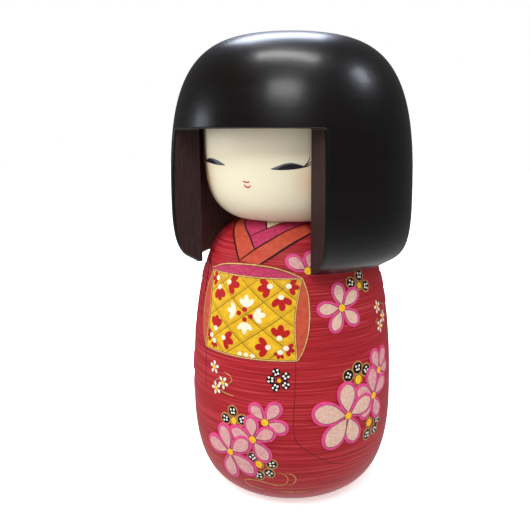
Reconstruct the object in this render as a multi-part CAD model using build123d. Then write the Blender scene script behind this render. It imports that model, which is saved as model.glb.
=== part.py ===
from build123d import *
from math import copysign, cos, radians, sin, sqrt, tan
import os

# Kokeshi doll, turned from wood: a body, a head ball with the face, and a hollow hair cap
# with a sawn face window. The head turns on a dowel in the body's bore.
# Millimetres, +Z up, the doll faces -Y, and the origin is the centre of its base.

# Body: widest low down, with a flat foot and a flat neck seat.
body_height = 142.0
body_radius = 52.6
belly_height = 47.0
foot_radius = 23.0
seat_radius = 24.0
seat_slope = 22.5

# Head ball: a squarish ball with a flat under its chin and a flat top.
face_radius = 44.3
chin_radius = 29.1
chin_slope = 23.0
ball_shoulder = 14.4
ball_top_radius = 30.0

# Hair cap: a thick bell over the ball, cut away at the front from its rim to the fringe. The
# ball stands clear of its bore, and so do the body's shoulders where they pass its rim.
cap_height = 109.2
cap_overhang = 21.2
cap_wall = 13.3
cap_widest_height = 27.2
cap_rim_width = 2.6
cap_rim_slope = 40.0
cap_crown_wall = 23.0
cap_ceiling_round = 12.0
rim_chamfer = 0.6
skirt_depth = 3.0
face_gap = 3.4
shoulder_gap = 3.9

# Face window: half its width where it meets the bore, its height above the cap's rim, how
# far its sides splay from straight ahead, and how much its edges are sanded round.
window_half_width = 30.2
window_height = 64.5
window_splay = 56.0
cheek_edge_round = 2.2
fringe_edge_round = 0.7

# Dowels: one glued in the head and free to turn in the body, one glued at both ends.
neck_dowel_radius = 8.0
neck_dowel_in_ball = 28.0
neck_dowel_in_body = 40.0
neck_bore_spare = 1.5
running_clearance = 0.06
crown_dowel_radius = 6.0
crown_dowel_in_ball = 12.0
crown_dowel_in_cap = 11.0
dowel_chamfer = 1.0

# The head is carried this far above the body's neck seat.
seat_gap = 0.3

# How full each turned curve is: its side pull, then its end pull.
foot_pulls = (0.97, 0.39)
chin_pulls = (0.53, 1.19)
ball_top_pulls = (0.55, 0.55)
cap_rim_pulls = (0.98, 0.5)
cap_crown_pulls = (1.08, 0.91)
cap_crown_weight = 0.54
side_fullness = (1.0, 1.5)

# Radii and heights worked out from the sizes above.
cap_bore_radius = face_radius + face_gap
cap_radius = cap_bore_radius + cap_wall
cap_rim_radius = cap_bore_radius + cap_rim_width
shoulder_radius = cap_bore_radius - shoulder_gap
rim_z = body_height - cap_overhang
crown_z = rim_z + cap_height
ceiling_z = crown_z - cap_crown_wall
ball_base_z = body_height + seat_gap
ball_widest_z = ceiling_z - ball_shoulder
window_top_z = rim_z + window_height
skirt_z = rim_z - skirt_depth


def at(radius, height):
    """A point of a turned outline, in the plane that is spun about the axis."""
    return (radius, 0, height)


def swell(widest, end, pulls, end_slope=0.0, weight=1.0):
    """A curve from the widest point of a turned piece, where it runs upright, to one end.

    The pulls say how full the curve is, as shares of its height and of its width. It comes
    in to the end at end_slope degrees from level, and a low weight makes it less square.
    """
    (side_pull, end_pull) = pulls
    (widest_radius, widest_z) = widest
    (end_radius, end_z) = end
    rise = end_z - widest_z
    reach = end_pull * (widest_radius - end_radius)
    side_point = at(widest_radius, widest_z + side_pull * rise)
    end_point = at(
        end_radius + reach * cos(radians(end_slope)),
        end_z - copysign(reach, rise) * sin(radians(end_slope)),
    )
    return Bezier(
        at(widest_radius, widest_z),
        side_point,
        end_point,
        at(end_radius, end_z),
        weights=[1, weight, weight, 1],
    )


def turned(*edges):
    """A piece turned on the lathe from the closed outline that the edges make."""
    return revolve(make_face(edges), Axis.Z)


def hole(radius, from_z, to_z):
    """A round cutter on the axis, between two heights."""
    upright = (Align.CENTER, Align.CENTER, Align.MIN)
    return Pos(0, 0, from_z) * Cylinder(radius, to_z - from_z, align=upright)


def dowel(radius, from_z, to_z):
    """A round peg on the axis, between two heights, with both its ends chamfered."""
    peg = hole(radius, from_z, to_z)
    return chamfer(peg.edges().filter_by(GeomType.CIRCLE), dowel_chamfer)


def make_torso():
    """The body, with the bore that the neck dowel turns in."""
    seat_way = (-cos(radians(seat_slope)), 0, sin(radians(seat_slope)))
    side = Spline(
        at(body_radius, belly_height),
        at(shoulder_radius, rim_z),
        at(seat_radius, body_height),
        tangents=[(0, 0, 1), seat_way],
        tangent_scalars=side_fullness,
    )
    outline = turned(
        Line(at(0, 0), at(foot_radius, 0)),
        swell((body_radius, belly_height), (foot_radius, 0), foot_pulls),
        side,
        Line(at(seat_radius, body_height), at(0, body_height)),
        Line(at(0, body_height), at(0, 0)),
    )
    bore_end_z = body_height - neck_dowel_in_body - neck_bore_spare
    return outline - hole(neck_dowel_radius + running_clearance, bore_end_z, body_height)


def make_face_ball():
    """The head ball, with a blind hole for a dowel at each end."""
    widest = (face_radius, ball_widest_z)
    outline = turned(
        Line(at(0, ball_base_z), at(chin_radius, ball_base_z)),
        swell(widest, (chin_radius, ball_base_z), chin_pulls, chin_slope),
        swell(widest, (ball_top_radius, ceiling_z), ball_top_pulls),
        Line(at(ball_top_radius, ceiling_z), at(0, ceiling_z)),
        Line(at(0, ceiling_z), at(0, ball_base_z)),
    )
    neck_hole = hole(neck_dowel_radius, ball_base_z, ball_base_z + neck_dowel_in_ball)
    crown_hole = hole(crown_dowel_radius, ceiling_z - crown_dowel_in_ball, ceiling_z)
    return outline - neck_hole - crown_hole


def make_window_cutter():
    """The space that the saw opens in the front of the cap, below the fringe."""
    corner_y = -sqrt(cap_bore_radius**2 - window_half_width**2)
    front_y = -2 * cap_radius
    front_half_width = window_half_width + (corner_y - front_y) * tan(radians(window_splay))
    right_side = [
        (window_half_width, 0),
        (window_half_width, corner_y),
        (front_half_width, front_y),
    ]
    left_side = [(-x, y) for x, y in reversed(right_side)]
    outline = make_face(Polyline(*right_side, *left_side, close=True))
    return Pos(0, 0, skirt_z) * extrude(outline, window_top_z - skirt_z)


def make_bell():
    """The outside of the hair, with a spare skirt below its rim."""
    widest = (cap_radius, rim_z + cap_widest_height)
    rim = (cap_rim_radius, rim_z)
    skirt_radius = cap_rim_radius - (rim_z - skirt_z) / tan(radians(cap_rim_slope))
    return turned(
        Line(at(0, skirt_z), at(skirt_radius, skirt_z)),
        Line(at(skirt_radius, skirt_z), at(*rim)),
        swell(widest, rim, cap_rim_pulls, cap_rim_slope),
        swell(widest, (0, crown_z), cap_crown_pulls, weight=cap_crown_weight),
        Line(at(0, crown_z), at(0, skirt_z)),
    )


def make_bore_cutter():
    """The inside of the hair: a straight bore with a rounded ceiling and a chamfered mouth."""
    mouth_radius = cap_bore_radius + rim_chamfer
    mouth_z = rim_z + rim_chamfer
    corner_z = ceiling_z - cap_ceiling_round
    corner_radius = cap_bore_radius - cap_ceiling_round
    return turned(
        Line(at(0, skirt_z), at(mouth_radius, skirt_z)),
        Line(at(mouth_radius, skirt_z), at(mouth_radius, rim_z)),
        Line(at(mouth_radius, rim_z), at(cap_bore_radius, mouth_z)),
        Line(at(cap_bore_radius, mouth_z), at(cap_bore_radius, corner_z)),
        TangentArc(at(cap_bore_radius, corner_z), at(corner_radius, ceiling_z), tangent=(0, 0, 1)),
        Line(at(corner_radius, ceiling_z), at(0, ceiling_z)),
        Line(at(0, ceiling_z), at(0, skirt_z)),
    )


def window_edges(cap):
    """The edges where the window's cut meets the outside of the hair: cheeks, then fringe."""
    cheeks = []
    fringe = []
    for edge in cap.edges().filter_by(GeomType.LINE, reverse=True):
        middle = edge.position_at(0.5)
        in_front = -cap_radius < middle.Y < -window_half_width
        outside = sqrt(middle.X**2 + middle.Y**2) > cap_rim_radius
        if in_front and outside and abs(middle.Z - window_top_z) < 0.01:
            fringe.append(edge)
        elif in_front and outside and middle.Z < window_top_z and abs(middle.X) > window_half_width:
            cheeks.append(edge)
    return cheeks, fringe


def make_hair_cap():
    """The hair: a bell with a face window, and a blind hole in its crown for a dowel."""
    cap = make_bell() - make_window_cutter()
    cap = fillet(window_edges(cap)[0], cheek_edge_round)
    cap = fillet(window_edges(cap)[1], fringe_edge_round)
    skirt = hole(2 * cap_radius, skirt_z, rim_z)
    crown_hole = hole(crown_dowel_radius, ceiling_z, ceiling_z + crown_dowel_in_cap)
    return cap - skirt - make_bore_cutter() - crown_hole


def make_neck_dowel():
    """The peg that carries the head and turns in the body."""
    return dowel(neck_dowel_radius, body_height - neck_dowel_in_body, ball_base_z + neck_dowel_in_ball)


def make_crown_dowel():
    """The peg that ties the ball to the crown of the hair cap."""
    return dowel(crown_dowel_radius, ceiling_z - crown_dowel_in_ball, ceiling_z + crown_dowel_in_cap)


os.makedirs("parts", exist_ok=True)
pieces = {
    "torso": make_torso(),
    "face_ball": make_face_ball(),
    "hair_cap": make_hair_cap(),
    "neck_dowel": make_neck_dowel(),
    "crown_dowel": make_crown_dowel(),
}
for name, piece in pieces.items():
    export_step(piece, f"parts/{name}.step")
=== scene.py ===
"""A painted kokeshi doll: a red lacquered body, a cream face and a thick black hair cap.

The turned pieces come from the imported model. This script gives them their finishes and adds
the painting: thin films of paint that are laid out flat, then rolled on to the turned skins.
Heights and lengths are in millimetres. Azimuths are degrees round the axis, from the front
(-Y) towards the doll's left hand (+X). The model itself is in metres.
"""

from __future__ import annotations

import logging
import math
from collections.abc import Callable, Sequence
from dataclasses import dataclass, field
from enum import Enum

import bpy
import numpy as np
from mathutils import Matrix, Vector


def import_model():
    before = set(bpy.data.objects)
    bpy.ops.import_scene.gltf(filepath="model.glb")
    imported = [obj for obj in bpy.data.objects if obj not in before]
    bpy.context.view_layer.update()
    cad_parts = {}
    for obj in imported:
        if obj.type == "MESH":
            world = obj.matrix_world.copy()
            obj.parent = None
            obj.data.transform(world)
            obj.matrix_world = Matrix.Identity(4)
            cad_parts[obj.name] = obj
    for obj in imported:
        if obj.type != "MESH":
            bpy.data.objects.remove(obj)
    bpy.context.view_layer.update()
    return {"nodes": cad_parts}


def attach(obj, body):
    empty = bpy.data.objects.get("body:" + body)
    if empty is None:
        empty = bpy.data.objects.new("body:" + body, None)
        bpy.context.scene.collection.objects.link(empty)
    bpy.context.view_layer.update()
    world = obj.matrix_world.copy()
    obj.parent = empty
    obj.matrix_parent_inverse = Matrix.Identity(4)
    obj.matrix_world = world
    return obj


MM = 0.001
LOG = logging.getLogger("kokeshi")

Pair = tuple[float, float]
Line = Sequence[Pair]
Edge = Callable[[np.ndarray], tuple]


def linear(hex_colour: str) -> tuple[float, float, float, float]:
    """The linear RGBA of an sRGB colour written as #rrggbb."""
    shares = [int(hex_colour[i : i + 2], 16) / 255 for i in (1, 3, 5)]
    red, green, blue = [c / 12.92 if c <= 0.04045 else ((c + 0.055) / 1.055) ** 2.4 for c in shares]
    return (red, green, blue, 1.0)


def add_node(
    tree: bpy.types.NodeTree, kind: str, sockets: dict | None = None, **settings: object
) -> bpy.types.Node:
    """Adds a node to a tree.

    Args:
        tree: The node tree.
        kind: The node's type name.
        sockets: What goes into each input, by name or index: a value, or another node's output.
        **settings: The node's own properties.

    Returns:
        The new node.
    """
    node = tree.nodes.new(kind)
    for key, value in settings.items():
        setattr(node, key, value)
    for key, value in (sockets or {}).items():
        if isinstance(value, bpy.types.NodeSocket):
            tree.links.new(value, node.inputs[key])
        else:
            node.inputs[key].default_value = value
    return node


# ---- Finishes ----

# The rings that a turner's tool leaves, in millimetres: how far an uneven spot reaches round,
# and how high it is. Real ones are about 0.2 mm high, too fine to show, so they're coarser.
TOOL_RINGS = (45.0, 0.55)
# The same where a thick coat has filled them.
FAINT_RINGS = (60.0, 0.6)


class Slot(Enum):
    """Names of material slots for the paint, which nothing here assigns."""

    BODY = "painted_body"
    FACE = "face"


@dataclass(frozen=True)
class Finish:
    """A plain finish: one colour with an even sheen.

    Attributes:
        name: The material's name.
        colour: Its colour, as #rrggbb.
        roughness: 0 for a mirror, 1 for chalk.
        sheen: The specular level: how strongly it mirrors the lights.
    """

    name: str
    colour: str
    roughness: float
    sheen: float = 0.2

    def material(self) -> bpy.types.Material:
        """The finish's material, built the first time that it's asked for."""
        known = bpy.data.materials.get(self.name)
        if known:
            return known
        material = bpy.data.materials.new(self.name)
        material.use_nodes = True
        tree = material.node_tree
        shader = next(n for n in tree.nodes if n.type == "BSDF_PRINCIPLED")
        shader.inputs["Base Color"].default_value = linear(self.colour)
        shader.inputs["Roughness"].default_value = self.roughness
        shader.inputs["Specular IOR Level"].default_value = self.sheen
        self.dress(tree, shader)
        return material

    def dress(self, tree: bpy.types.NodeTree, shader: bpy.types.Node) -> None:
        """Adds what sets a kind of finish apart, which for a plain one is nothing."""

    @staticmethod
    def pattern(tree: bpy.types.NodeTree, size: Pair, detail: float) -> bpy.types.NodeSocket:
        """An uneven pattern that runs from 0 to 1 and is mostly near a half.

        Args:
            tree: The node tree.
            size: How far its features reach in X and Y, and in Z, in millimetres.
            detail: How many finer octaves are added.

        Returns:
            The pattern's output.
        """
        level, upright = (1 / (reach * MM) for reach in size)
        place = add_node(tree, "ShaderNodeTexCoord").outputs["Object"]
        stretch = add_node(tree, "ShaderNodeMapping", {"Vector": place, "Scale": (level, level, upright)})
        noise = {"Vector": stretch.outputs["Vector"], "Scale": 1.0, "Detail": detail}
        return add_node(tree, "ShaderNodeTexNoise", noise).outputs["Fac"]

    @staticmethod
    def shade(
        tree: bpy.types.NodeTree,
        shader: bpy.types.Node,
        pattern: bpy.types.NodeSocket,
        ends: Pair,
        colours: Sequence[str],
    ) -> None:
        """Colours a surface by a pattern.

        Args:
            tree: The node tree.
            shader: The surface's shader.
            pattern: The pattern.
            ends: The pattern's values that give the first and the last colour.
            colours: The colours, as #rrggbb, spread evenly between those values.
        """
        ramp = add_node(tree, "ShaderNodeValToRGB", {"Fac": pattern})
        elements = ramp.color_ramp.elements
        while len(elements) < len(colours):
            elements.new(0.5)
        low, high = ends
        for index, colour in enumerate(colours):
            elements[index].position = low + (high - low) * index / (len(colours) - 1)
            elements[index].color = linear(colour)
        tree.links.new(ramp.outputs["Color"], shader.inputs["Base Color"])

    def turn_rings(
        self, tree: bpy.types.NodeTree, shader: bpy.types.Node, size: Pair, detail: float, depth: float
    ) -> bpy.types.NodeSocket:
        """Adds the rings that the turner's tool leaves, as relief.

        Args:
            tree: The node tree.
            shader: The surface's shader.
            size: How long the rings' uneven spots are, and how high, in millimetres.
            detail: How many finer octaves the rings have.
            depth: How deep the rings look, in millimetres.

        Returns:
            The rings' pattern.
        """
        rings = self.pattern(tree, size, detail)
        relief = {"Height": rings, "Strength": 1.0, "Distance": depth * MM}
        normal = add_node(tree, "ShaderNodeBump", relief).outputs["Normal"]
        tree.links.new(normal, shader.inputs["Normal"])
        return rings


@dataclass(frozen=True, kw_only=True)
class LatheTurned(Finish):
    """A finish that lets the lathe's fine rings show through.

    Attributes:
        shades: Darker to lighter colours that the rings run through, the lighter ones partly painted sheen.
        depth: How deep the rings look, in millimetres.
    """

    shades: tuple[str, ...]
    depth: float

    def dress(self, tree: bpy.types.NodeTree, shader: bpy.types.Node) -> None:
        """Adds the rings, in colour and in relief."""
        rings = self.turn_rings(tree, shader, TOOL_RINGS, 1.0, self.depth)
        self.shade(tree, shader, rings, (0.32, 0.68), self.shades)


@dataclass(frozen=True, kw_only=True)
class Mottled(Finish):
    """Brushed paint that's thicker in some places than in others.

    Attributes:
        thin: The colour where the paint is thin.
        patch: The size of the patches, in millimetres.
        depth: How deep the rings below it look, in millimetres.
    """

    thin: str
    patch: float
    depth: float = 0.04

    def dress(self, tree: bpy.types.NodeTree, shader: bpy.types.Node) -> None:
        """Adds the patches, and the lathe's rings below them."""
        patches = self.pattern(tree, (self.patch, self.patch * 0.7), 3.0)
        self.shade(tree, shader, patches, (0.35, 0.65), (self.thin, self.colour))
        self.turn_rings(tree, shader, TOOL_RINGS, 1.0, self.depth)


@dataclass(frozen=True, kw_only=True)
class GrainedWood(Finish):
    """Bare or stained wood with fine upright grain.

    Attributes:
        shades: Darker to lighter colours of the grain.
        grain: The grain's width and length, in millimetres.
    """

    shades: tuple[str, ...]
    grain: Pair = (0.5, 9.0)

    def dress(self, tree: bpy.types.NodeTree, shader: bpy.types.Node) -> None:
        """Adds the grain."""
        self.shade(tree, shader, self.pattern(tree, self.grain, 3.0), (0.35, 0.7), self.shades)


@dataclass(frozen=True, kw_only=True)
class Lacquer(Finish):
    """Rubbed lacquer: dark, with soft highlights.

    Attributes:
        coat: How much clear coat lies on top.
        coat_roughness: How rough that coat is.
        streak: How far the streaks of the rubbing reach round and up, in millimetres.
        rubbed: How much smoother and rougher than the finish's roughness the streaks get.
        depth: How deep the rings below it look, in millimetres.
    """

    coat: float
    coat_roughness: float
    streak: Pair = (30.0, 4.0)
    rubbed: Pair = (0.05, 0.07)
    depth: float = 0.03

    def dress(self, tree: bpy.types.NodeTree, shader: bpy.types.Node) -> None:
        """Adds the clear coat, slight streaks left by the rubbing, and the lathe's faint rings."""
        smoother, rougher = self.rubbed
        streaks = {
            "Value": self.pattern(tree, self.streak, 3.0),
            "To Min": self.roughness - smoother,
            "To Max": self.roughness + rougher,
        }
        rough = add_node(tree, "ShaderNodeMapRange", streaks).outputs["Result"]
        tree.links.new(rough, shader.inputs["Roughness"])
        self.turn_rings(tree, shader, FAINT_RINGS, 2.0, self.depth)
        shader.inputs["Coat Weight"].default_value = self.coat
        shader.inputs["Coat Roughness"].default_value = self.coat_roughness


@dataclass(frozen=True, kw_only=True)
class StudioFloor(Finish):
    """A pale floor that glows a little, so that it stays pale far from the lights.

    Attributes:
        glow: How strongly it glows.
    """

    glow: float

    def dress(self, tree: bpy.types.NodeTree, shader: bpy.types.Node) -> None:
        """Adds the glow."""
        shader.inputs["Emission Color"].default_value = linear(self.colour)
        shader.inputs["Emission Strength"].default_value = self.glow


@dataclass(frozen=True, kw_only=True)
class PowderedFace(Finish):
    """Cream ground with a faint blush on each cheek.

    Attributes:
        blush: The blush's colour.
        cheeks: The middle of each blush, in metres.
        spread: The blush's radius, in millimetres.
        strength: How much of its colour shows at its middle.
    """

    blush: str
    cheeks: tuple[tuple[float, float, float], ...]
    spread: float = 12.0
    strength: float = 0.42

    def dress(self, tree: bpy.types.NodeTree, shader: bpy.types.Node) -> None:
        """Adds the blushes."""
        place = add_node(tree, "ShaderNodeTexCoord").outputs["Object"]
        colour: object = linear(self.colour)
        for cheek in self.cheeks:
            away = add_node(tree, "ShaderNodeVectorMath", {0: place, 1: cheek}, operation="DISTANCE")
            fade = {
                "Value": away.outputs["Value"],
                "From Min": 0.0,
                "From Max": self.spread * MM,
                "To Min": self.strength,
                "To Max": 0.0,
            }
            share = add_node(tree, "ShaderNodeMapRange", fade, interpolation_type="SMOOTHSTEP")
            blend = {"Factor": share.outputs["Result"], "A": colour, "B": linear(self.blush)}
            colour = add_node(tree, "ShaderNodeMix", blend, data_type="RGBA").outputs[2]
        tree.links.new(colour, shader.inputs["Base Color"])


# Turned wood under a thin red dye: deep red, with the lathe's rings showing and a soft gloss.
# The rings' lightest, pinker shade is partly painted sheen: the whitish gloss on the ring ridges.
RED_BODY = LatheTurned(
    "red_body", "#a5212a", 0.45, 0.18, shades=("#86131b", "#9e1c25", "#a6222b", "#b83c43"), depth=0.06
)
# Turned hardwood, left bare: plain and pale.
BARE_WOOD = GrainedWood("bare_wood", "#caa77a", 0.6, shades=("#b89264", "#cfae80", "#dcc096"))
# Black lacquer, rubbed to a soft gloss: nearly black, with blurred highlights.
HAIR_LACQUER = Lacquer("hair_lacquer", "#0a0605", 0.33, 0.34, coat=0.18, coat_roughness=0.18)
# Sawn wood with dark stain, not lacquered: a dull purplish brown.
HAIR_CUT = GrainedWood("hair_cut_wood", "#342020", 0.55, shades=("#2b1a19", "#311e1d", "#3b2625"))
# The bore's thin stain, a dark maroon, is lightened here to a dull reddish brown as painted light for the
# light reaching into the bore; it still looks dark in its own shade.
HAIR_INSIDE = GrainedWood("hair_inside", "#7a504c", 0.7, 0.15, shades=("#7d544f", "#8b625d", "#99706a"))
# Poster colours, brushed on by hand: bright, a little uneven, with a low sheen.
SASH_YELLOW = Mottled("sash_yellow", "#deb223", 0.5, thin="#cd9c1b", patch=3.0)
ORANGE = Mottled("orange_paint", "#c0513b", 0.5, thin="#b34430", patch=3.0)
MAGENTA = Mottled("magenta_paint", "#bb3b61", 0.5, thin="#a62c50", patch=2.0)
SASH_WHITE = Mottled("sash_white", "#e6e0cb", 0.5, thin="#dbd2b8", patch=1.5)
SASH_RED = Mottled("sash_red", "#b31a1c", 0.5, thin="#a01417", patch=1.5)
PETAL_EDGE = Mottled("petal_edge", "#de4d88", 0.5, thin="#cc3f7b", patch=2.0)
FLOWER_HEART = Mottled("flower_heart", "#f4c12e", 0.5, thin="#e6a71f", patch=1.0)
# The same colours thinned with water, so that the wood's red shows through in patches.
PETAL_CREAM = Mottled("petal_cream", "#dcbaa8", 0.5, thin="#cda393", patch=1.6)
PETAL_PINK = Mottled("petal_pink", "#d8a6a2", 0.5, thin="#c78a8b", patch=1.6)
BLOSSOM_WHITE = Mottled("blossom_white", "#f1e6d6", 0.5, thin="#e2c6b6", patch=1.2)
# Gold paint, drawn with a fine brush: dull gold, brighter on the sash's outlines.
GOLD = Mottled("gold_line", "#c39457", 0.4, thin="#9c6e3e", patch=1.5)
GOLD_EDGE = Mottled("gold_edge", "#dcae70", 0.4, thin="#b98b50", patch=1.5)
# Thick poster colours: even and flat.
BLACK = Finish("black_paint", "#17100f", 0.45)
NECK_CREAM = Finish("neck_cream", "#ecdcb6", 0.5)
DOT_WHITE = Finish("dot_white", "#f0ece2", 0.5)
LATTICE = Finish("lattice_line", "#8d6b12", 0.5)
# The lattice's lighter line is a painted highlight: the light caught on the raised edge beside each groove.
LATTICE_HIGHLIGHT = Finish("lattice_line_highlight", "#bf9520", 0.5)
# Lines burned into the wood with a hot point: matt, from blackish brown to a faint dark red.
BURNED = Finish("burned_line", "#2c1210", 0.6)
PETAL_LINE = Finish("petal_line", "#7a3440", 0.6)
BURNED_FAINT = Finish("burned_line_faint", "#701820", 0.5)
# Ink on the face: soft blackish blue and grey, and a thin red.
EYE_BLACK = Finish("eye_black", "#241f29", 0.4)
EYE_GREY = Finish("eye_grey", "#62666e", 0.45)
LIP_RED = Finish("lip_red", "#c24a48", 0.5)


# ---- The turned skin and its chart ----


class Skin:
    """The outside of a turned piece, unrolled into azimuth and length along its outline."""

    # How far up and down from a point its slope is measured, in millimetres.
    SLOPE_STEP = 0.8

    def __init__(self, node: bpy.types.Object, least_radius: float) -> None:
        """Reads the outline from a CAD node.

        Args:
            node: The CAD node.
            least_radius: Nothing nearer the axis than this is on the outside.
        """
        points = np.array([vertex.co for vertex in node.data.vertices]) / MM
        radii = np.hypot(points[:, 0], points[:, 1])
        outside = radii > least_radius
        self.heights, rows = np.unique(np.round(points[outside, 2], 2), return_inverse=True)
        rows = rows.ravel()
        self.radii = np.bincount(rows, radii[outside]) / np.bincount(rows)
        steps = np.hypot(np.diff(self.radii), np.diff(self.heights))
        self.lengths = np.concatenate([[0.0], np.cumsum(steps)])

    def length_at(self, height: np.ndarray | float) -> np.ndarray:
        """The length along the outline, up from its foot, at a height."""
        return np.interp(height, self.heights, self.lengths)

    def radius_at(self, length: np.ndarray | float) -> np.ndarray:
        """The radius at a length along the outline."""
        return np.interp(length, self.lengths, self.radii)

    def height_at(self, length: np.ndarray | float) -> np.ndarray:
        """The height at a length along the outline."""
        return np.interp(length, self.lengths, self.heights)

    def roll(self, azimuth: np.ndarray, length: np.ndarray, lift: float) -> np.ndarray:
        """Rolls points of the chart on to the skin.

        Args:
            azimuth: The points' azimuths, in degrees.
            length: Their lengths along the outline.
            lift: How far they stand off the skin, in millimetres.

        Returns:
            Their places in metres, one row each.
        """
        above, below = length + self.SLOPE_STEP, length - self.SLOPE_STEP
        outward = self.radius_at(above) - self.radius_at(below)
        upward = self.height_at(above) - self.height_at(below)
        slope = np.hypot(outward, upward)
        radius = self.radius_at(length) + lift * upward / slope
        height = self.height_at(length) - lift * outward / slope
        turn = np.radians(azimuth)
        return np.stack([radius * np.sin(turn), -radius * np.cos(turn), height], axis=-1) * MM


def along(points: Line | np.ndarray, share: np.ndarray) -> np.ndarray:
    """Points on a smooth line.

    Args:
        points: What the line passes through.
        share: How far along it each wanted point is, from 0 to 1.

    Returns:
        The wanted points, one row each.
    """
    corners = np.asarray(points, float)
    steps = np.maximum(np.hypot(*np.diff(corners, axis=0).T), 1e-6)
    knots = np.concatenate([[0.0], np.cumsum(steps)]) / steps.sum()
    tangents = np.gradient(corners, knots, axis=0)
    index = np.clip(np.searchsorted(knots, share, "right") - 1, 0, len(corners) - 2)
    span = (knots[index + 1] - knots[index])[:, None]
    t = (share[:, None] - knots[index][:, None]) / span
    return (
        (2 * t**3 - 3 * t**2 + 1) * corners[index]
        + (t**3 - 2 * t**2 + t) * span * tangents[index]
        + (3 * t**2 - 2 * t**3) * corners[index + 1]
        + (t**3 - t**2) * span * tangents[index + 1]
    )


class Stencil(Enum):
    """The flat shapes that every film of paint is cut from."""

    DISC = "disc"
    DOT = "dot"
    RIBBON = "ribbon"
    SHEET = "sheet"


class StencilBox:
    """Makes each stencil once and hands out copies."""

    def __init__(self) -> None:
        """Starts with no stencils made."""
        self.made: dict[Stencil, bpy.types.Object] = {}

    def copy(self, stencil: Stencil) -> tuple[bpy.types.Object, np.ndarray]:
        """Copies a stencil, which is modelled the first time that it's asked for.

        Args:
            stencil: Which one.

        Returns:
            The copy, and its flat points, which run from -1 to 1 both ways.
        """
        if stencil not in self.made:
            self.made[stencil] = self.make(stencil)
        original = self.made[stencil]
        copy = original.copy()
        copy.data = original.data.copy()
        bpy.context.scene.collection.objects.link(copy)
        flat = np.zeros(len(copy.data.vertices) * 3)
        copy.data.vertices.foreach_get("co", flat)
        return copy, flat.reshape(-1, 3)[:, :2]

    def make(self, stencil: Stencil) -> bpy.types.Object:
        """Models a stencil.

        Args:
            stencil: Which one.

        Returns:
            The flat object, 2 m across, about the origin.
        """
        bpy.ops.object.select_all(action="DESELECT")
        match stencil:
            case Stencil.DISC:
                self.disc(sides=32, rings=3)
            case Stencil.DOT:
                self.disc(sides=12, rings=0)
            case Stencil.RIBBON:
                bpy.ops.mesh.primitive_grid_add(x_subdivisions=24, y_subdivisions=1, size=2.0)
            case Stencil.SHEET:
                bpy.ops.mesh.primitive_grid_add(x_subdivisions=26, y_subdivisions=24, size=2.0)
        made = bpy.context.active_object
        made.name = f"stencil_{stencil.value}"
        return made

    @staticmethod
    def disc(sides: int, rings: int) -> None:
        """Models a disc of rings round a middle point, so that it can bend both ways.

        Args:
            sides: How many sides it has.
            rings: How many rings lie between its edge and the triangles in its middle.
        """
        bpy.ops.mesh.primitive_circle_add(vertices=sides, radius=1.0, fill_type="NGON")
        bpy.ops.object.mode_set(mode="EDIT")
        bpy.ops.mesh.select_all(action="SELECT")
        for _ in range(rings):
            bpy.ops.mesh.inset(thickness=1.0 / (rings + 1))
        bpy.ops.mesh.poke()
        bpy.ops.object.mode_set(mode="OBJECT")

    def put_away(self) -> None:
        """Removes the stencils themselves."""
        for made in self.made.values():
            bpy.data.objects.remove(made)
        self.made.clear()


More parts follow.
